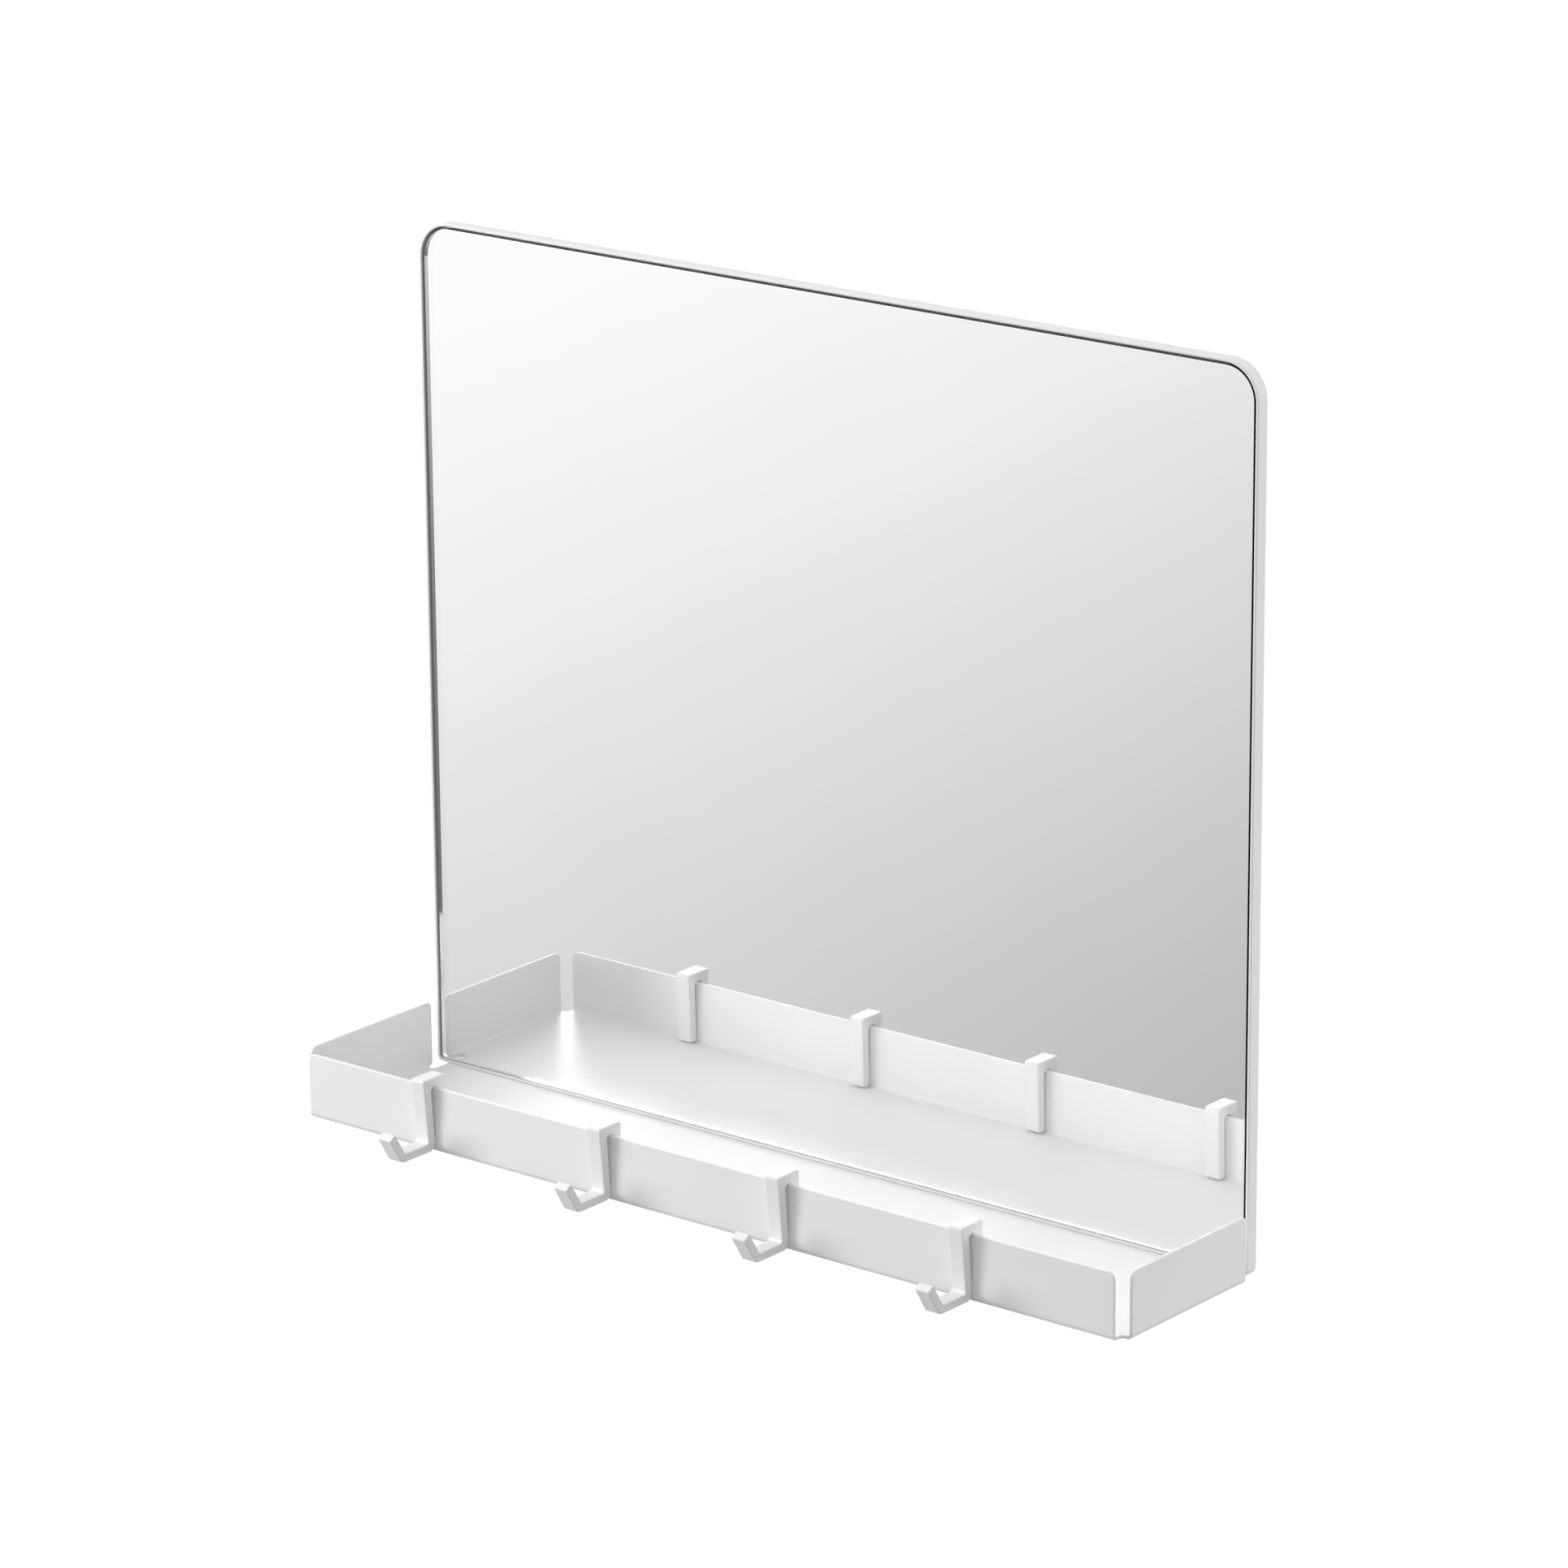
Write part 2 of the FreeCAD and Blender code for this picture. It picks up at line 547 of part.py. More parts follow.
def check_and_export():
    """Stops on a failed object or shape, then writes one file for each piece."""
    doc.recompute()
    for item in doc.Objects:
        if "Invalid" in item.State or "Error" in item.State:
            raise RuntimeError(f"{item.Label} failed: {item.State}")
    for body in pieces:
        if body.Shape.isNull() or not body.Shape.isValid():
            raise RuntimeError(f"{body.Label} has no valid shape")
    os.makedirs("parts", exist_ok=True)
    for body in pieces:
        body.Shape.exportStep(f"parts/{body.Label}.step")
        box = body.Shape.BoundBox
        print(f"{body.Label}: {len(body.Shape.Solids)} solid, {body.Shape.Volume:.1f} mm3, "
              f"{box.XLength:.2f} x {box.YLength:.2f} x {box.ZLength:.2f} mm")


make_tray()
make_back_pan()
make_mirror()
make_foam_tapes()
make_magnets()
make_flange_screws()
make_hooks()
check_and_export()
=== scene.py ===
"""Locker mirror: coated steel, silvered glass, moulded hooks, screws and a pale studio."""
import math

import bmesh
import bpy
from mathutils import Matrix, Vector


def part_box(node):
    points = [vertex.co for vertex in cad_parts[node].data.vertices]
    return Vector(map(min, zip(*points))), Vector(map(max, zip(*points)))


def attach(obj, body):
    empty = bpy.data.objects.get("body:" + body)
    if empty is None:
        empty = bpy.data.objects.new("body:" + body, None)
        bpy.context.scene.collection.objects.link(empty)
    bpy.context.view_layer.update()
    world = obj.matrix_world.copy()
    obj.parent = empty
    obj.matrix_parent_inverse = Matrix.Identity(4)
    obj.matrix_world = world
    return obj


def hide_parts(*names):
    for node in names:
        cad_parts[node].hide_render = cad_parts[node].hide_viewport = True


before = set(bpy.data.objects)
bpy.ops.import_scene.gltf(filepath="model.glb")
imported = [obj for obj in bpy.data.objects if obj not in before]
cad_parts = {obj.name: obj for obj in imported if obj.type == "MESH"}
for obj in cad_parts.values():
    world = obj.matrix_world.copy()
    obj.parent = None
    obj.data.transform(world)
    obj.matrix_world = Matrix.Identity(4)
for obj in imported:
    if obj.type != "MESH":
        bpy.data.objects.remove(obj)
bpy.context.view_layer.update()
pan_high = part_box("back_pan")[1]

bl_info = {
    "name": "Locker mirror",
    "version": (1, 0, 0),
    "blender": (4, 5, 0),
    "location": "3D View > Sidebar > Locker mirror",
    "description": "Finishes, screws and studio for a locker mirror with a tray and sliding hooks",
    "category": "Object",
}

MM = 0.001
FIXED_BODY = "mirror_and_tray"
HOOKS = ("hook_1", "hook_2", "hook_3", "hook_4")
TAPES = ("foam_tape_1", "foam_tape_2", "foam_tape_3", "foam_tape_4")
MAGNETS = ("magnet_left", "magnet_centre", "magnet_right")
MAGNET_FILMS = ("magnet_film_left", "magnet_film_centre", "magnet_film_right")

# Radius of the panel's top corners in the solids and as it is seen, and how near a point counts as on them
SOLID_CORNER = 15.0 * MM
SEEN_CORNER = 11.0 * MM
TOUCH = 0.01 * MM

# Glass: its refraction, the least turn to Y of its seam and of its large faces, and the gap to the silver
GLASS_IOR = 1.52
SEAM_TURN = 0.4
FACE_TURN = 0.9
SILVER_GAP = 0.02 * MM

# Values that the noise of a finish seldom goes beyond
NOISE_LOW = 0.3
NOISE_HIGH = 0.7

# Places of a vector Mix node's sockets
MIX_FACTOR = 0
MIX_FIRST = 4
MIX_SECOND = 5
MIX_RESULT = 1

# Number of screws, the sides of their rings and the sharpest angle that is shaded smooth
SCREW_COUNT = 4
SCREW_SIDES = 48
SMOOTH_ANGLE = math.radians(35)

# Half section of a screw in millimetres, as radius and place along its axis, with one turn of the thread
SCREW_TIP = ((0.0, -3.5), (0.9, -3.5), (1.1, -3.4))
THREAD_TURN = ((1.12, 0.0), (1.4, 0.2), (1.4, 0.26), (1.12, 0.46))
THREAD_START = -3.3
THREAD_PITCH = 0.5
THREAD_TURNS = 6
SCREW_HEAD = (
    (1.4, -0.3), (1.4, 0.0), (2.7, 0.0), (2.8, 0.1), (2.8, 0.62), (2.7, 0.95),
    (2.45, 1.22), (2.0, 1.43), (1.4, 1.55), (0.7, 1.59), (0.0, 1.6),
)
HEAD_RADIUS = max(radius for radius, along in SCREW_HEAD) * MM
HEAD_HEIGHT = SCREW_HEAD[-1][1] * MM

# Cross recess: how far its cutter stands out of the head, and its scale there and at its floor
RECESS_RISE = 0.2 * MM
RECESS_MOUTH = 1.08
RECESS_FLOOR = 0.45

# Painted reflection: tones of the glowing card on the floor that only the mirror shows, as place along its
# axis in metres and share of white
CARD_TURN = math.radians(-9)
CARD_AXIS = (math.cos(CARD_TURN), math.sin(CARD_TURN), 0.0)
CARD_PAINTED_REFLECTION = (
    (-3.0, 1.0), (-2.0, 1.0), (-1.5, 0.88), (-1.0, 0.68), (-0.5, 0.45),
    (0.0, 0.36), (1.4, 0.13), (2.0, 0.2), (3.0, 0.7), (4.0, 1.0),
)

# Painted reflection: tones of the glowing upright screen that only the mirror shows to a viewer straight in
# front of it
SCREEN_AXIS = (0.6, 0.0, -0.8)
SCREEN_PAINTED_REFLECTION = ((-1.6, 1.0), (-0.7, 0.93), (0.0, 0.76), (0.8, 0.54), (1.6, 0.45))

# Where each of them fades away, as axis, clear place and fully graded place in metres
CARD_FADES = (("X", -4.6, -3.4), ("X", 3.6, 2.6), ("Y", -0.4, -1.0), ("Y", -5.2, -3.3))
SCREEN_FADES = (("X", -5.0, -3.0), ("X", 5.0, 3.0), ("Z", -0.73, -0.55), ("Z", 3.5, 2.0))

# Corners of the floor, the card and the screen in metres, and how far the last two start above the floor
FLOOR_LOW = (-12.0, -12.0)
FLOOR_HIGH = (12.0, 12.0)
CARD_LOW = (-4.6, -5.2)
CARD_HIGH = (3.6, -0.3)
SCREEN_LOW = (-5.0, -6.0)
SCREEN_HIGH = (5.0, -6.0, 3.5)
CARD_LIFT = 0.02

# Soft lamps, as place, width and height in metres
LAMPS = {
    "key": ((-0.748, -0.924, 0.067), 0.5, 0.32),
    "left": ((-0.833, -0.389, 0.671), 0.8, 0.8),
    "fill": ((0.979, 0.686, 0.005), 1.0, 1.0),
}
LAMP_TARGET = (0.0, -0.03, -0.1)

# Level direction in which the room is pale; the other way, at the front right, it is dim
PALE_SIDE = (-0.627, 0.779, 0.0)

# Light has met a matt surface once its count of scatters is past this
SCATTERED = 0.5

# Directions of the camera, its frame's width in millimetres and how far it sees in metres
CAMERA_FORWARD = (-0.599685, 0.744440, -0.293576)
CAMERA_UPWARD = (-0.178313, 0.233330, 0.955909)
FRAME_WIDTH = 36.0
FAR_END = 60.0


def length(name, description, default):
    """A length in metres that a user may change."""
    return bpy.props.FloatProperty(
        name=name, description=description, default=default, min=0.0, precision=5, unit="LENGTH"
    )


def share(name, description, default):
    """A number from 0 to 1 that a user may change."""
    return bpy.props.FloatProperty(
        name=name, description=description, default=default, min=0.0, max=1.0, subtype="FACTOR"
    )


def colour(name, description, default):
    """A colour that a user may change."""
    return bpy.props.FloatVectorProperty(
        name=name, description=description, default=default, size=3, min=0.0, max=1.0, subtype="COLOR"
    )


def place(name, description, default):
    """A point in metres that a user may change."""
    return bpy.props.FloatVectorProperty(
        name=name, description=description, default=default, size=3, subtype="TRANSLATION", unit="LENGTH"
    )


def power(name, description, default):
    """A lamp's power in watts that a user may change."""
    return bpy.props.FloatProperty(
        name=name, description=description, default=default, min=0.0, unit="POWER"
    )


class CoatSettings(bpy.types.PropertyGroup):
    """White powder coat on the tray and the pan."""

    tint: colour("Coat", "Colour of the powder coat", (0.86, 0.86, 0.857))
    thin_tint: colour("Thin coat", "Colour where the coat flowed thinner", (0.835, 0.836, 0.834))
    cloud_size: length("Cloud size", "Size of the coat's thinner places", 45 * MM)
    roughness: share("Roughness", "Roughness of the coat", 0.42)
    gloss: share("Gloss", "Strength of the coat's mirror light", 0.36)
    peel_size: length("Peel size", "Distance between the swells of the coat's orange peel", 1.3 * MM)
    peel_height: length("Peel height", "Height of the coat's orange peel", 0.006 * MM)


class MirrorSettings(bpy.types.PropertyGroup):
    """Silvered glass and the film behind it."""

    tint: colour("Silver", "Colour that the silvered glass gives back", (0.986, 0.988, 0.986))
    cloud_tint: colour("Clouds", "Colour of the faint clouds in the silver", (0.98, 0.983, 0.98))
    cloud_size: length("Cloud size", "Size of the faint clouds in the silver", 60 * MM)
    face: share("Glass face", "Roughness of the glass's large faces", 0.0)
    ground: share("Ground seam", "Roughness of the ground seam round the glass", 0.12)
    edge: share("Glass edge", "Roughness of the glass's edge", 0.05)
    chip_size: length("Chip size", "Size of the grinding marks on the glass's edge", 0.7 * MM)
    chip_height: length("Chip height", "Height of the grinding marks on the glass's edge", 0.004 * MM)
    silver_roughness: share("Silver roughness", "Roughness of the silver coat's own faces", 0.06)
    film: colour("Film", "Colour of the film that holds broken glass", (0.09, 0.1, 0.11))
    film_pale: colour("Film ripple", "Colour of the film's paler ripples", (0.1125, 0.125, 0.1375))
    film_roughness: share("Film roughness", "Roughness of the film", 0.45)
    ripple_size: length("Ripple size", "Distance between the film's ripples", 6 * MM)


class HookSettings(bpy.types.PropertyGroup):
    """Moulded plastic of the four hooks."""

    tint: colour("Plastic", "Colour of the hooks' plastic", (0.865, 0.865, 0.86))
    flow_tint: colour("Flow lines", "Colour where the plastic filled the mould last", (0.84, 0.84, 0.836))
    flow_size: length("Flow size", "Size of the plastic's flow lines", 9 * MM)
    roughness: share("Roughness", "Roughness of the moulded surface", 0.45)
    gloss: share("Gloss", "Strength of the plastic's mirror light", 0.3)
    grain_size: length("Grain size", "Size of the mould's spark grain", 0.35 * MM)
    grain_height: length("Grain height", "Height of the mould's spark grain", 0.002 * MM)


class TapeSettings(bpy.types.PropertyGroup):
    """Foam tapes and the magnets' adhesive films."""

    foam: colour("Foam", "Colour of the foam tape", (0.78, 0.78, 0.76))
    # Painted shade: the foam is painted darker in its cells, where its bump is low
    foam_shade: colour("Foam cells", "Colour in the foam's cells", (0.546, 0.546, 0.532))
    foam_roughness: share("Foam roughness", "Roughness of the foam", 0.8)
    cell_size: length("Cell size", "Size of the foam's cells", 0.5 * MM)
    cell_height: length("Cell height", "Height of the foam's cells", 0.08 * MM)
    adhesive: colour("Adhesive", "Colour of the adhesive film", (0.8, 0.79, 0.74))
    adhesive_aged: colour("Aged adhesive", "Colour where the adhesive has yellowed", (0.744, 0.711, 0.6068))
    adhesive_roughness: share("Adhesive roughness", "Roughness of the adhesive film", 0.35)
    drag_size: length("Drag size", "Distance between the adhesive's drag marks", 4 * MM)


class MagnetSettings(bpy.types.PropertyGroup):
    """Filled rubber of the magnets."""

    tint: colour("Magnet", "Colour of the magnet rubber", (0.035, 0.032, 0.03))
    filler_tint: colour("Filler", "Colour of the filler that shows in the rubber", (0.075, 0.068, 0.062))
    filler_size: length("Filler size", "Size of the filler's grains", 0.9 * MM)
    filler_height: length("Filler height", "Height of the filler's grains", 0.02 * MM)
    roughness: share("Roughness", "Roughness of the rubber", 0.62)
    roll_size: length("Roll marks", "Distance between the marks of the rubber's rolling", 3 * MM)


class ScrewSettings(bpy.types.PropertyGroup):
    """Zinc-plated screws of the tray's flange."""

    tint: colour("Zinc", "Colour of the zinc on the screws", (0.72, 0.73, 0.75))
    dull_tint: colour("Dull zinc", "Colour where the zinc is dull", (0.576, 0.584, 0.6))
    roughness: share("Roughness", "Roughness of the zinc", 0.32)
    spangle_size: length("Spangle size", "Size of the zinc's spangles", 0.6 * MM)
    spangle_height: length("Spangle height", "Height of the zinc's spangles", 0.004 * MM)
    recess_reach: length("Recess reach", "Half the length of the cross recess", 1.5 * MM)
    recess_width: length("Recess width", "Half the width of the cross recess", 0.42 * MM)
    recess_depth: length("Recess depth", "Depth of the cross recess", 1.0 * MM)


class StageSettings(bpy.types.PropertyGroup):
    """Floor, light and camera."""

    floor_height: bpy.props.FloatProperty(
        name="Floor height", description="Height of the floor", default=-0.75, unit="LENGTH"
    )
    floor_tint: colour("Floor", "Colour of the floor", (0.25, 0.25, 0.25))
    floor_lift: share("Floor lift", "Light that the floor adds where it is seen, to make it white", 0.86)
    ambient: share("Ambient", "Light from all round", 0.735)
    wall_glow: share("Wall light", "Light from the room's pale side", 0.35)
    key_power: power("Key light", "Power of the low light at the front left", 5.7)
    left_power: power("Left light", "Power of the high light at the left", 2.2)
    fill_power: power("Fill light", "Power of the light behind at the right", 4.0)
    camera_place: place("Camera", "Where the camera stands", (1.172583, -1.480964, 0.549041))
    lens: bpy.props.FloatProperty(
        name="Lens", description="Focal length of the camera", default=159.18, unit="CAMERA"
    )


def add_node(tree, kind, settings=None, **inputs):
    """A node with its settings and the plain values of its inputs; an input's name uses _ for a space."""
    node = tree.nodes.new(kind)
    for name, setting in (settings or {}).items():
        setattr(node, name, setting)
    for name, number in inputs.items():
        node.inputs[name.replace("_", " ")].default_value = number
    return node


def work_out(tree, operation, first, second=None):
    """Socket of an operation on one socket, or on a socket and a second socket or number."""
    node = add_node(tree, "ShaderNodeMath", {"operation": operation})
    tree.links.new(first, node.inputs[0])
    if isinstance(second, bpy.types.NodeSocket):
        tree.links.new(second, node.inputs[1])
    elif second is not None:
        node.inputs[1].default_value = second
    return node.outputs["Value"]


def part_of(tree, vector, axis):
    """Socket of a vector's X, Y or Z."""
    parts = add_node(tree, "ShaderNodeSeparateXYZ")
    tree.links.new(vector, parts.inputs["Vector"])
    return parts.outputs[axis]


def place_on_object(tree):
    """Socket of the place on an object, in metres."""
    return add_node(tree, "ShaderNodeTexCoord").outputs["Object"]


def bare_material(name):
    """A material that has no nodes yet; returns the material and its tree."""
    material = bpy.data.materials.new(name)
    material.use_nodes = True
    tree = material.node_tree
    tree.nodes.clear()
    return material, tree


def new_finish(name):
    """A material with one Principled shader; returns the material, its tree and the shader."""
    material, tree = bare_material(name)
    shader = add_node(tree, "ShaderNodeBsdfPrincipled")
    output = add_node(tree, "ShaderNodeOutputMaterial")
    tree.links.new(shader.outputs["BSDF"], output.inputs["Surface"])
    return material, tree, shader


def add_speckle(tree, size, detail=2.0, stretch=(1.0, 1.0, 1.0)):
    """Noise over the object with features of a real size; returns the socket of its value."""
    mapping = add_node(tree, "ShaderNodeMapping", Scale=stretch)
    speckle = add_node(tree, "ShaderNodeTexNoise", Scale=1.0 / size, Detail=detail)
    tree.links.new(place_on_object(tree), mapping.inputs["Vector"])
    tree.links.new(mapping.outputs["Vector"], speckle.inputs["Vector"])
    return speckle.outputs["Fac"]


def vary_colour(tree, shader, pattern, first, second, low=0.35, high=0.65):
    """Base colour that runs from one colour to another over a pattern."""
    ramp = add_node(tree, "ShaderNodeValToRGB")
    ramp.color_ramp.elements[0].position = low
    ramp.color_ramp.elements[1].position = high
    ramp.color_ramp.elements[0].color = (*first, 1.0)
    ramp.color_ramp.elements[1].color = (*second, 1.0)
    tree.links.new(pattern, ramp.inputs["Fac"])
    tree.links.new(ramp.outputs["Color"], shader.inputs["Base Color"])


def vary_roughness(tree, shader, pattern, roughness, spread):
    """Roughness that swings about a middle value over a pattern."""
    swing = add_node(tree, "ShaderNodeMapRange", From_Min=NOISE_LOW, From_Max=NOISE_HIGH)
    swing.inputs["To Min"].default_value = roughness - spread
    swing.inputs["To Max"].default_value = roughness + spread
    tree.links.new(pattern, swing.inputs["Value"])
    tree.links.new(swing.outputs["Result"], shader.inputs["Roughness"])


def add_bump(tree, pattern, height):
    """Socket of a normal that is bumped to a real height over a pattern."""
    bump = add_node(tree, "ShaderNodeBump", Strength=1.0, Distance=height)
    tree.links.new(pattern, bump.inputs["Height"])
    return bump.outputs["Normal"]


def raise_grain(tree, shader, pattern, height):
    """Bump of a real height over a pattern."""
    tree.links.new(add_bump(tree, pattern, height), shader.inputs["Normal"])


def finish_nodes(names, material):
    """Gives CAD nodes a finish."""
    for name in names:
        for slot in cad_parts[name].material_slots:
            slot.material = material


def place_piece(name, mesh, material):
    """A new piece on the body that doesn't move."""
    piece = bpy.data.objects.new(name, mesh)
    piece.data.materials.append(material)
    bpy.context.scene.collection.objects.link(piece)
    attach(piece, FIXED_BODY)
    return piece


def mesh_from(name, build):
    """A mesh built by a function that fills a bmesh."""
    mesh = bpy.data.meshes.new(name)
    shape = bmesh.new()
    build(shape)
    bmesh.ops.recalc_face_normals(shape, faces=shape.faces)
    shape.to_mesh(mesh)
    shape.free()
    return mesh


def tighten_corners(node_name, piece_name, material):
    """A copy of one of the panel's nodes with tighter top corners, which stands for the node."""
    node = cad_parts[node_name]
    normals = [corner.vector.copy() for corner in node.data.corner_normals]
    mesh = node.data.copy()
    mesh.name = piece_name
    mesh.materials.clear()
    shift = SOLID_CORNER - SEEN_CORNER
    centre_x = pan_high.x - SOLID_CORNER
    centre_z = pan_high.z - SOLID_CORNER
    for vertex in mesh.vertices:
        side = math.copysign(1.0, vertex.co.x)
        along = side * vertex.co.x - centre_x
        up = vertex.co.z - centre_z
        reach = math.hypot(along, up)
        if min(along, up) < -TOUCH or reach <= shift:
            continue
        scale = (reach - shift) / reach
        vertex.co.x = side * (centre_x + shift + along * scale)
        vertex.co.z = centre_z + shift + up * scale
    mesh.normals_split_custom_set(normals)
    piece = place_piece(piece_name, mesh, material)
    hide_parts(node_name)


class LOCKERMIRROR_OT_coat_steel(bpy.types.Operator):
    """Coats the tray and the pan with white powder paint"""

    bl_idname = "locker_mirror.coat_steel"
    bl_label = "Coat steel"

    def execute(self, context):
        settings = context.scene.locker_mirror_coat
        material, tree, shader = new_finish("white_powder_coat")
        clouds = add_speckle(tree, settings.cloud_size)
        vary_colour(tree, shader, clouds, settings.thin_tint, settings.tint, low=0.2, high=0.5)
        peel = add_speckle(tree, settings.peel_size)
        vary_roughness(tree, shader, peel, settings.roughness, spread=0.03)
        shader.inputs["Specular IOR Level"].default_value = settings.gloss
        raise_grain(tree, shader, peel, settings.peel_height)
        finish_nodes(("tray",), material)
        tighten_corners("back_pan", "pan_shell", material)
        return {"FINISHED"}


class LOCKERMIRROR_OT_silver_glass(bpy.types.Operator):
    """Silvers the glass and finishes the film behind it"""

    bl_idname = "locker_mirror.silver_glass"
    bl_label = "Silver glass"

    def execute(self, context):
        settings = context.scene.locker_mirror_mirror
        self.make_glass(settings)
        self.make_silver(settings)
        self.make_film(settings)
        return {"FINISHED"}

    def make_glass(self, settings):
        """Clear glass, silver where its back face meets the coat, ground on its seam and edge."""
        material, tree, shader = new_finish("silvered_glass")
        shader.inputs["Transmission Weight"].default_value = 1.0
        shader.inputs["IOR"].default_value = GLASS_IOR
        clouds = add_speckle(tree, settings.cloud_size)
        vary_colour(tree, shader, clouds, settings.cloud_tint, settings.tint)
        turned = self.turn_to_y(tree)
        upright = work_out(tree, "ABSOLUTE", turned)
        flattened = work_out(tree, "GREATER_THAN", upright, SEAM_TURN)
        tree.links.new(self.grinding(tree, upright, settings), shader.inputs["Roughness"])
        tree.links.new(self.back_mask(tree, flattened), shader.inputs["Metallic"])
        chips = add_speckle(tree, settings.chip_size, detail=4.0)
        chipped = add_bump(tree, chips, settings.chip_height)
        flat = add_node(tree, "ShaderNodeCombineXYZ")
        tree.links.new(work_out(tree, "SIGN", turned), flat.inputs["Y"])
        normal = add_node(tree, "ShaderNodeMix", {"data_type": "VECTOR"})
        tree.links.new(flattened, normal.inputs[MIX_FACTOR])
        tree.links.new(chipped, normal.inputs[MIX_FIRST])
        tree.links.new(flat.outputs["Vector"], normal.inputs[MIX_SECOND])
        tree.links.new(normal.outputs[MIX_RESULT], shader.inputs["Normal"])
        tighten_corners("mirror_glass", "glass_pane", material)

    def turn_to_y(self, tree):
        """Socket of a face's turn to Y: 1 or -1 on the large faces, 0.7 on the seam, 0 on the edge."""
        geometry = add_node(tree, "ShaderNodeNewGeometry")
        return part_of(tree, geometry.outputs["True Normal"], "Y")

    def grinding(self, tree, upright, settings):
        """Socket of one roughness on the glass's edge, one on its seam and one on its large faces."""
        steps = ((0.0, settings.edge), (SEAM_TURN, settings.ground), (FACE_TURN, settings.face))
        ramp = add_node(tree, "ShaderNodeValToRGB")
        ramp.color_ramp.interpolation = "CONSTANT"
        ramp.color_ramp.elements.new(SEAM_TURN)
        for stop, (turn, roughness) in zip(ramp.color_ramp.elements, steps):
            stop.position = turn
            stop.color = (roughness, roughness, roughness, 1.0)
        tree.links.new(upright, ramp.inputs["Fac"])
        return ramp.outputs["Color"]

    def back_mask(self, tree, flattened):
        """Socket that is 1 on the glass's back face and back seam, beyond the middle of its thickness."""
        low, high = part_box("mirror_glass")
        depth = part_of(tree, place_on_object(tree), "Y")
        beyond = work_out(tree, "GREATER_THAN", depth, (low.y + high.y) / 2)
        return work_out(tree, "MULTIPLY", beyond, flattened)

    def make_silver(self, settings):
        """Silver coat, set a hair behind the glass so that the two faces don't coincide."""
        material, tree, shader = new_finish("silver")
        shader.inputs["Metallic"].default_value = 1.0
        clouds = add_speckle(tree, settings.cloud_size)
        vary_colour(tree, shader, clouds, settings.cloud_tint, settings.tint)
        vary_roughness(tree, shader, clouds, settings.silver_roughness, spread=0.03)
        finish_nodes(("silver_coat",), material)
        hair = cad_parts["silver_coat"].modifiers.new("hair_gap", "DISPLACE")
        hair.direction = "Y"
        hair.mid_level = 0.0
        hair.strength = SILVER_GAP

    def make_film(self, settings):
        """Dark film with the faint ripple of rolled plastic."""
        material, tree, shader = new_finish("backing_film")
        ripple = add_speckle(tree, settings.ripple_size, stretch=(1.0, 1.0, 0.25))
        vary_colour(tree, shader, ripple, settings.film, settings.film_pale)
        vary_roughness(tree, shader, ripple, settings.film_roughness, spread=0.06)
        finish_nodes(("shatter_film",), material)


class LOCKERMIRROR_OT_finish_hooks(bpy.types.Operator):
    """Gives the hooks their moulded plastic"""

    bl_idname = "locker_mirror.finish_hooks"
    bl_label = "Finish hooks"

    def execute(self, context):
        settings = context.scene.locker_mirror_hooks
        material, tree, shader = new_finish("hook_plastic")
        flow = add_speckle(tree, settings.flow_size, stretch=(1.0, 1.0, 0.35))
        vary_colour(tree, shader, flow, settings.flow_tint, settings.tint, low=0.25, high=0.5)
        grain = add_speckle(tree, settings.grain_size)
        vary_roughness(tree, shader, grain, settings.roughness, spread=0.04)
        shader.inputs["Specular IOR Level"].default_value = settings.gloss
        raise_grain(tree, shader, grain, settings.grain_height)
        finish_nodes(HOOKS, material)
        return {"FINISHED"}


class LOCKERMIRROR_OT_finish_tapes(bpy.types.Operator):
    """Gives the foam tapes and the magnets' adhesive films their finish"""

    bl_idname = "locker_mirror.finish_tapes"
    bl_label = "Finish tapes and films"

    def execute(self, context):
        settings = context.scene.locker_mirror_tapes
        self.make_foam(settings)
        self.make_adhesive(settings)
        return {"FINISHED"}

    def make_foam(self, settings):
        """Matt foam with open cells, painted darker in the cells as painted shade."""
        material, tree, shader = new_finish("foam")
        cells = add_speckle(tree, settings.cell_size, detail=3.0)
        vary_colour(tree, shader, cells, settings.foam_shade, settings.foam)
        vary_roughness(tree, shader, cells, settings.foam_roughness, spread=0.08)
        raise_grain(tree, shader, cells, settings.cell_height)
        finish_nodes(TAPES, material)

    def make_adhesive(self, settings):
        """Adhesive with drag marks, a little yellowed."""
        material, tree, shader = new_finish("adhesive")
        drag = add_speckle(tree, settings.drag_size, stretch=(0.3, 1.0, 1.0))
        vary_colour(tree, shader, drag, settings.adhesive_aged, settings.adhesive)
        vary_roughness(tree, shader, drag, settings.adhesive_roughness, spread=0.06)
        finish_nodes(MAGNET_FILMS, material)


class LOCKERMIRROR_OT_finish_magnets(bpy.types.Operator):
    """Gives the magnets their filled rubber"""

    bl_idname = "locker_mirror.finish_magnets"
    bl_label = "Finish magnets"

    def execute(self, context):
        settings = context.scene.locker_mirror_magnets
        material, tree, shader = new_finish("magnet_rubber")
        filler = add_speckle(tree, settings.filler_size, detail=4.0)
        vary_colour(tree, shader, filler, settings.tint, settings.filler_tint, low=0.4, high=0.75)
        rolled = add_speckle(tree, settings.roll_size, stretch=(1.0, 1.0, 0.15))
        vary_roughness(tree, shader, rolled, settings.roughness, spread=0.08)
        raise_grain(tree, shader, filler, settings.filler_height)
        finish_nodes(MAGNETS, material)
        return {"FINISHED"}


def screw_profile():
    """Half section of a screw as radius and place along its axis, from the tip to the head's middle."""
    profile = [*SCREW_TIP]
    for turn in range(THREAD_TURNS):
        start = THREAD_START + THREAD_PITCH * turn
        profile += [(radius, start + along) for radius, along in THREAD_TURN]
    profile += SCREW_HEAD
    return [(radius * MM, along * MM) for radius, along in profile]


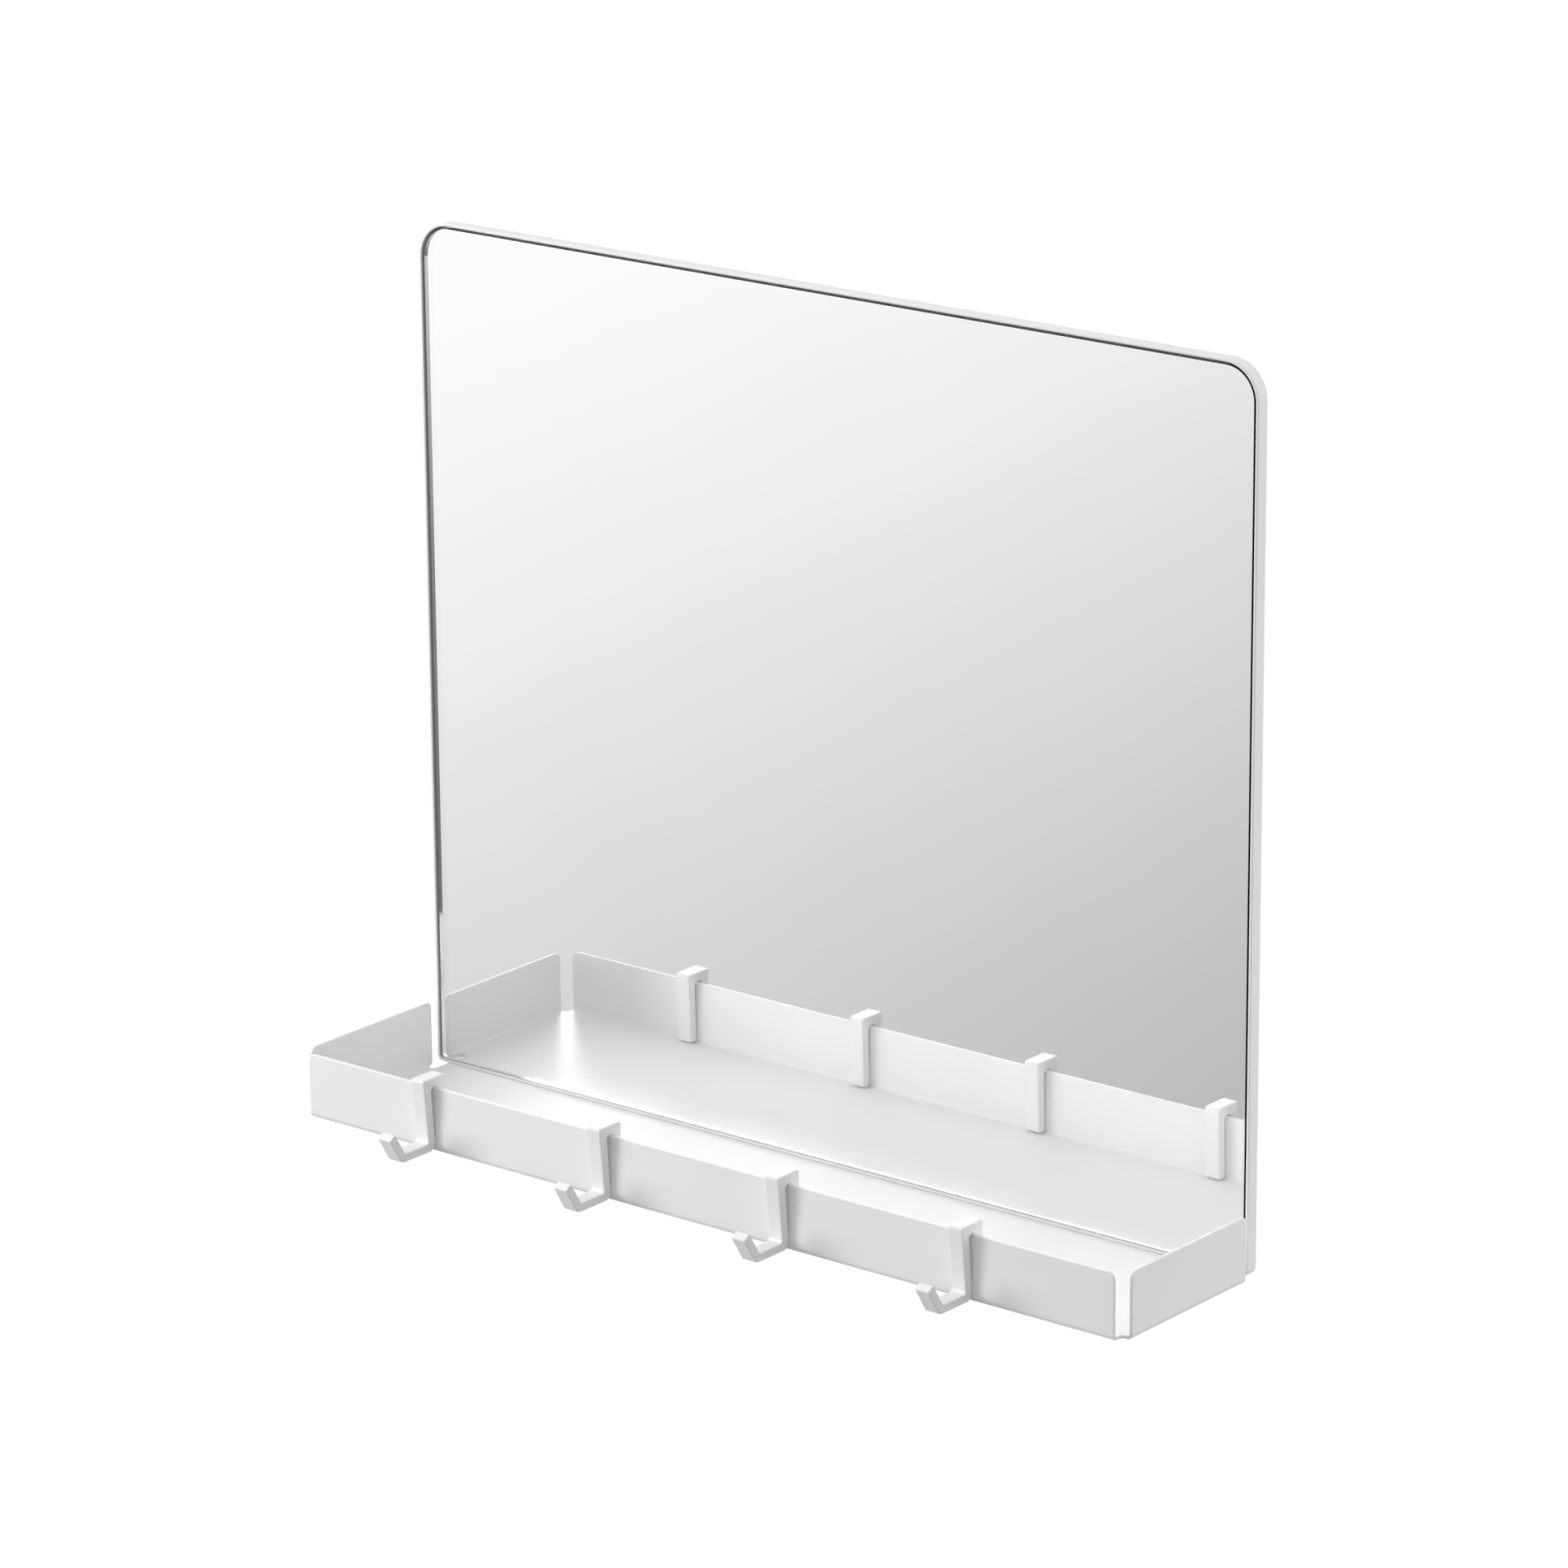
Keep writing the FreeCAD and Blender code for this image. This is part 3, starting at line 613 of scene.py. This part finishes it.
def turned_screw(shape, across, seat, height):
    """Screw turned about an axis along Y."""
    rings = []
    for radius, along in screw_profile():
        if radius == 0.0:
            rings.append([shape.verts.new((across, seat + along, height))])
            continue
        ring = []
        for side in range(SCREW_SIDES):
            angle = 2.0 * math.pi * side / SCREW_SIDES
            ring.append(shape.verts.new(
                (across + radius * math.cos(angle), seat + along, height + radius * math.sin(angle))
            ))
        rings.append(ring)
    for ring, following in zip(rings, rings[1:]):
        for side in range(SCREW_SIDES):
            after = (side + 1) % SCREW_SIDES
            if len(ring) == 1:
                shape.faces.new((ring[0], following[side], following[after]))
            elif len(following) == 1:
                shape.faces.new((ring[side], following[0], ring[after]))
            else:
                shape.faces.new((ring[side], following[side], following[after], ring[after]))


def recess_cutter(shape, across, top, height, settings):
    """Tapered cross that sinks into a screw's head."""
    reach = settings.recess_reach
    width = settings.recess_width
    arms = ((width, reach), (width, width), (reach, width))
    outline = []
    for quarter in range(4):
        turn = Matrix.Rotation(-quarter * math.pi / 2, 2)
        outline += [turn @ Vector(corner) for corner in arms]
    levels = []
    for depth, scale in ((-RECESS_RISE, RECESS_MOUTH), (settings.recess_depth, RECESS_FLOOR)):
        levels.append([
            shape.verts.new((across + corner.x * scale, top - depth, height + corner.y * scale))
            for corner in outline
        ])
    count = len(outline)
    for corner in range(count):
        after = (corner + 1) % count
        shape.faces.new((levels[0][corner], levels[0][after], levels[1][after], levels[1][corner]))
    for level in levels:
        shape.faces.new(level)


class LOCKERMIRROR_OT_cut_screws(bpy.types.Operator):
    """Turns the flange's screws and cuts a cross recess in each head"""

    bl_idname = "locker_mirror.cut_screws"
    bl_label = "Cut screws"

    def execute(self, context):
        settings = context.scene.locker_mirror_screws
        mesh = self.cut_mesh(context, settings)
        row = place_piece("flange_screw_row", mesh, self.make_zinc(settings))
        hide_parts("flange_screws")
        return {"FINISHED"}

    def cut_mesh(self, context, settings):
        """Mesh of the row of screws, with their recesses cut."""
        low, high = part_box("flange_screws")
        seat = high.y - HEAD_HEIGHT
        height = (low.z + high.z) / 2
        first = low.x + HEAD_RADIUS
        last = high.x - HEAD_RADIUS
        places = [first + (last - first) * index / (SCREW_COUNT - 1) for index in range(SCREW_COUNT)]

        def turn_all(shape):
            for across in places:
                turned_screw(shape, across, seat, height)

        def cut_all(shape):
            for across in places:
                recess_cutter(shape, across, high.y, height, settings)

        blank = bpy.data.objects.new("screw_blank", mesh_from("screw_blank", turn_all))
        cutter = bpy.data.objects.new("recess_cutter", mesh_from("recess_cutter", cut_all))
        for item in (blank, cutter):
            context.scene.collection.objects.link(item)
        cut = blank.modifiers.new("recess", "BOOLEAN")
        cut.operation = "DIFFERENCE"
        cut.solver = "EXACT"
        cut.object = cutter
        done = blank.evaluated_get(context.evaluated_depsgraph_get())
        mesh = bpy.data.meshes.new_from_object(done)
        mesh.name = "flange_screw_row"
        for item in (blank, cutter):
            bpy.data.objects.remove(item)
        mesh.materials.clear()
        mesh.shade_smooth()
        mesh.set_sharp_from_angle(angle=SMOOTH_ANGLE)
        return mesh

    def make_zinc(self, settings):
        """Zinc with fine spangles."""
        material, tree, shader = new_finish("zinc")
        shader.inputs["Metallic"].default_value = 1.0
        spangle = add_speckle(tree, settings.spangle_size, detail=3.0)
        vary_colour(tree, shader, spangle, settings.dull_tint, settings.tint)
        vary_roughness(tree, shader, spangle, settings.roughness, spread=0.07)
        raise_grain(tree, shader, spangle, settings.spangle_height)
        return material


def flat_sheet(name, low, high):
    """Rectangle of the stage between two corners, level if they are at one height and upright if not."""
    mesh = bpy.data.meshes.new(name)
    shape = bmesh.new()
    corners = (low, (high[0], low[1], low[2]), high, (low[0], high[1], high[2]))
    shape.faces.new([shape.verts.new(corner) for corner in corners])
    shape.to_mesh(mesh)
    shape.free()
    sheet = bpy.data.objects.new(name, mesh)
    bpy.context.scene.collection.objects.link(sheet)
    return sheet


def add_lamp(name, at, width, height, energy):
    """A soft lamp that is turned to the tray and that the camera doesn't see."""
    lamp = bpy.data.lights.new(name, "AREA")
    lamp.shape = "RECTANGLE"
    lamp.size = width
    lamp.size_y = height
    lamp.energy = energy
    holder = bpy.data.objects.new(name, lamp)
    holder.location = at
    holder.rotation_euler = (Vector(LAMP_TARGET) - Vector(at)).to_track_quat("-Z", "Y").to_euler()
    holder.visible_camera = False
    bpy.context.scene.collection.objects.link(holder)


def seen_directly(tree):
    """Socket that is 1 where the surroundings are seen, also in glass, and 0 where they only give light."""
    path = add_node(tree, "ShaderNodeLightPath").outputs
    seen = work_out(tree, "MAXIMUM", path["Is Camera Ray"], path["Is Glossy Ray"])
    seen = work_out(tree, "MAXIMUM", seen, path["Is Transmission Ray"])
    unscattered = work_out(tree, "LESS_THAN", path["Diffuse Depth"], SCATTERED)
    return work_out(tree, "MULTIPLY", seen, unscattered)


def add_tones(tree, axis, tones):
    """Socket of a tone that changes along an axis of the object."""
    first, last = tones[0][0], tones[-1][0]
    along = add_node(tree, "ShaderNodeVectorMath", {"operation": "DOT_PRODUCT"})
    along.inputs[1].default_value = axis
    across = add_node(tree, "ShaderNodeMapRange", From_Min=first, From_Max=last)
    ramp = add_node(tree, "ShaderNodeValToRGB")
    stops = ramp.color_ramp.elements
    shares = [(at - first) / (last - first) for at, _ in tones]
    for at in shares[1:-1]:
        stops.new(at)
    for stop, at, (_, tone) in zip(stops, shares, tones):
        stop.position = at
        stop.color = (tone, tone, tone, 1.0)
    tree.links.new(place_on_object(tree), along.inputs[0])
    tree.links.new(along.outputs["Value"], across.inputs["Value"])
    tree.links.new(across.outputs["Result"], ramp.inputs["Fac"])
    return ramp.outputs["Color"]


def paint_reflection(sheet, axis, tones, fades):
    """Gives a sheet a glow with tones along an axis, a painted reflection that only mirrors show, and fades
    it away towards its ends.
    """
    sheet.visible_camera = False
    sheet.visible_diffuse = False
    sheet.visible_shadow = False
    material, tree = bare_material(f"{sheet.name}_tones")
    glow = add_node(tree, "ShaderNodeEmission")
    clear = add_node(tree, "ShaderNodeBsdfTransparent")
    shown = add_node(tree, "ShaderNodeMixShader")
    output = add_node(tree, "ShaderNodeOutputMaterial")
    tree.links.new(add_tones(tree, axis, tones), glow.inputs["Color"])
    graded = seen_directly(tree)
    for part, bare, full in fades:
        soft = {"interpolation_type": "SMOOTHSTEP"}
        step = add_node(tree, "ShaderNodeMapRange", soft, From_Min=bare, From_Max=full)
        tree.links.new(part_of(tree, place_on_object(tree), part), step.inputs["Value"])
        graded = work_out(tree, "MULTIPLY", graded, step.outputs["Result"])
    tree.links.new(graded, shown.inputs["Fac"])
    tree.links.new(clear.outputs["BSDF"], shown.inputs[1])
    tree.links.new(glow.outputs["Emission"], shown.inputs[2])
    tree.links.new(shown.outputs["Shader"], output.inputs["Surface"])
    sheet.data.materials.append(material)


class LOCKERMIRROR_OT_set_stage(bpy.types.Operator):
    """Lays the floor and sets the light and the camera"""

    bl_idname = "locker_mirror.set_stage"
    bl_label = "Set stage"

    def execute(self, context):
        settings = context.scene.locker_mirror_stage
        context.scene.view_settings.view_transform = "Standard"
        context.scene.cycles.blur_glossy = 0.0
        self.lay_floor(settings)
        self.lay_painted_reflections(settings)
        self.set_world(settings)
        self.set_lamps(settings)
        self.set_camera(settings)
        return {"FINISHED"}

    def lay_floor(self, settings):
        """Wide pale floor, clear from below."""
        height = settings.floor_height
        floor = flat_sheet("floor", (*FLOOR_LOW, height), (*FLOOR_HIGH, height))
        material, tree = bare_material("pale_floor")
        matt = add_node(tree, "ShaderNodeBsdfDiffuse", Color=(*settings.floor_tint, 1.0))
        lift = add_node(tree, "ShaderNodeEmission")
        both = add_node(tree, "ShaderNodeAddShader")
        clear = add_node(tree, "ShaderNodeBsdfTransparent")
        sides = add_node(tree, "ShaderNodeMixShader")
        geometry = add_node(tree, "ShaderNodeNewGeometry")
        output = add_node(tree, "ShaderNodeOutputMaterial")
        lifted = work_out(tree, "MULTIPLY", seen_directly(tree), settings.floor_lift)
        tree.links.new(lifted, lift.inputs["Strength"])
        tree.links.new(matt.outputs["BSDF"], both.inputs[0])
        tree.links.new(lift.outputs["Emission"], both.inputs[1])
        tree.links.new(geometry.outputs["Backfacing"], sides.inputs["Fac"])
        tree.links.new(both.outputs["Shader"], sides.inputs[1])
        tree.links.new(clear.outputs["BSDF"], sides.inputs[2])
        tree.links.new(sides.outputs["Shader"], output.inputs["Surface"])
        floor.data.materials.append(material)

    def lay_painted_reflections(self, settings):
        """Glowing card on the floor and upright screen beyond it, painted reflections which only mirrors
        show.
        """
        height = settings.floor_height + CARD_LIFT
        card = flat_sheet("mirror_card", (*CARD_LOW, height), (*CARD_HIGH, height))
        paint_reflection(card, CARD_AXIS, CARD_PAINTED_REFLECTION, CARD_FADES)
        screen = flat_sheet("mirror_screen", (*SCREEN_LOW, height), SCREEN_HIGH)
        paint_reflection(screen, SCREEN_AXIS, SCREEN_PAINTED_REFLECTION, SCREEN_FADES)

    def set_world(self, settings):
        """White surroundings, dimmer as a light and dimmest from the front right."""
        world = bpy.data.worlds.new("studio")
        bpy.context.scene.world = world
        world.use_nodes = True
        tree = world.node_tree
        tree.nodes.clear()
        coordinates = add_node(tree, "ShaderNodeTexCoord")
        toward = add_node(tree, "ShaderNodeVectorMath", {"operation": "DOT_PRODUCT"})
        toward.inputs[1].default_value = PALE_SIDE
        brightest = settings.ambient + settings.wall_glow
        light = add_node(tree, "ShaderNodeMapRange", To_Min=settings.ambient, To_Max=brightest)
        strength = add_node(tree, "ShaderNodeMapRange", To_Max=1.0)
        background = add_node(tree, "ShaderNodeBackground", Color=(1.0, 1.0, 1.0, 1.0))
        output = add_node(tree, "ShaderNodeOutputWorld")
        tree.links.new(coordinates.outputs["Generated"], toward.inputs[0])
        tree.links.new(toward.outputs["Value"], light.inputs["Value"])
        tree.links.new(light.outputs["Result"], strength.inputs["To Min"])
        tree.links.new(seen_directly(tree), strength.inputs["Value"])
        tree.links.new(strength.outputs["Result"], background.inputs["Strength"])
        tree.links.new(background.outputs["Background"], output.inputs["Surface"])

    def set_lamps(self, settings):
        """Soft lamps round the object."""
        for name, (at, width, height) in LAMPS.items():
            add_lamp(f"{name}_light", at, width, height, getattr(settings, f"{name}_power"))

    def set_camera(self, settings):
        """Camera at the photograph's viewing angle."""
        lens = bpy.data.cameras.new("camera")
        lens.lens = settings.lens
        lens.sensor_width = FRAME_WIDTH
        lens.clip_end = FAR_END
        camera = bpy.data.objects.new("camera", lens)
        forward = Vector(CAMERA_FORWARD).normalized()
        across = forward.cross(Vector(CAMERA_UPWARD)).normalized()
        upward = across.cross(forward)
        turn = Matrix((across, upward, -forward)).transposed()
        camera.matrix_world = Matrix.Translation(settings.camera_place) @ turn.to_4x4()
        bpy.context.scene.collection.objects.link(camera)
        bpy.context.scene.camera = camera


OPERATORS = (
    LOCKERMIRROR_OT_coat_steel,
    LOCKERMIRROR_OT_silver_glass,
    LOCKERMIRROR_OT_finish_hooks,
    LOCKERMIRROR_OT_finish_tapes,
    LOCKERMIRROR_OT_finish_magnets,
    LOCKERMIRROR_OT_cut_screws,
    LOCKERMIRROR_OT_set_stage,
)

SETTINGS = {
    "locker_mirror_coat": CoatSettings,
    "locker_mirror_mirror": MirrorSettings,
    "locker_mirror_hooks": HookSettings,
    "locker_mirror_tapes": TapeSettings,
    "locker_mirror_magnets": MagnetSettings,
    "locker_mirror_screws": ScrewSettings,
    "locker_mirror_stage": StageSettings,
}


class LOCKERMIRROR_PT_pieces(bpy.types.Panel):
    """Lists the settings and the steps"""

    bl_label = "Locker mirror"
    bl_idname = "LOCKERMIRROR_PT_pieces"
    bl_space_type = "VIEW_3D"
    bl_region_type = "UI"
    bl_category = "Locker mirror"

    def draw(self, context):
        for operator in OPERATORS:
            self.layout.operator(operator.bl_idname)
        for name, group in SETTINGS.items():
            box = self.layout.box()
            box.label(text=group.__doc__)
            for setting in group.__annotations__:
                box.prop(getattr(context.scene, name), setting)


CLASSES = (*SETTINGS.values(), *OPERATORS, LOCKERMIRROR_PT_pieces)


def register():
    for item in CLASSES:
        bpy.utils.register_class(item)
    for name, group in SETTINGS.items():
        setattr(bpy.types.Scene, name, bpy.props.PointerProperty(type=group))


def unregister():
    for name in SETTINGS:
        delattr(bpy.types.Scene, name)
    for item in reversed(CLASSES):
        bpy.utils.unregister_class(item)


def main():
    """Registers the classes and makes every piece."""
    register()
    for operator in OPERATORS:
        group, step = operator.bl_idname.split(".")
        getattr(getattr(bpy.ops, group), step)()


if __name__ == "__main__":
    main()
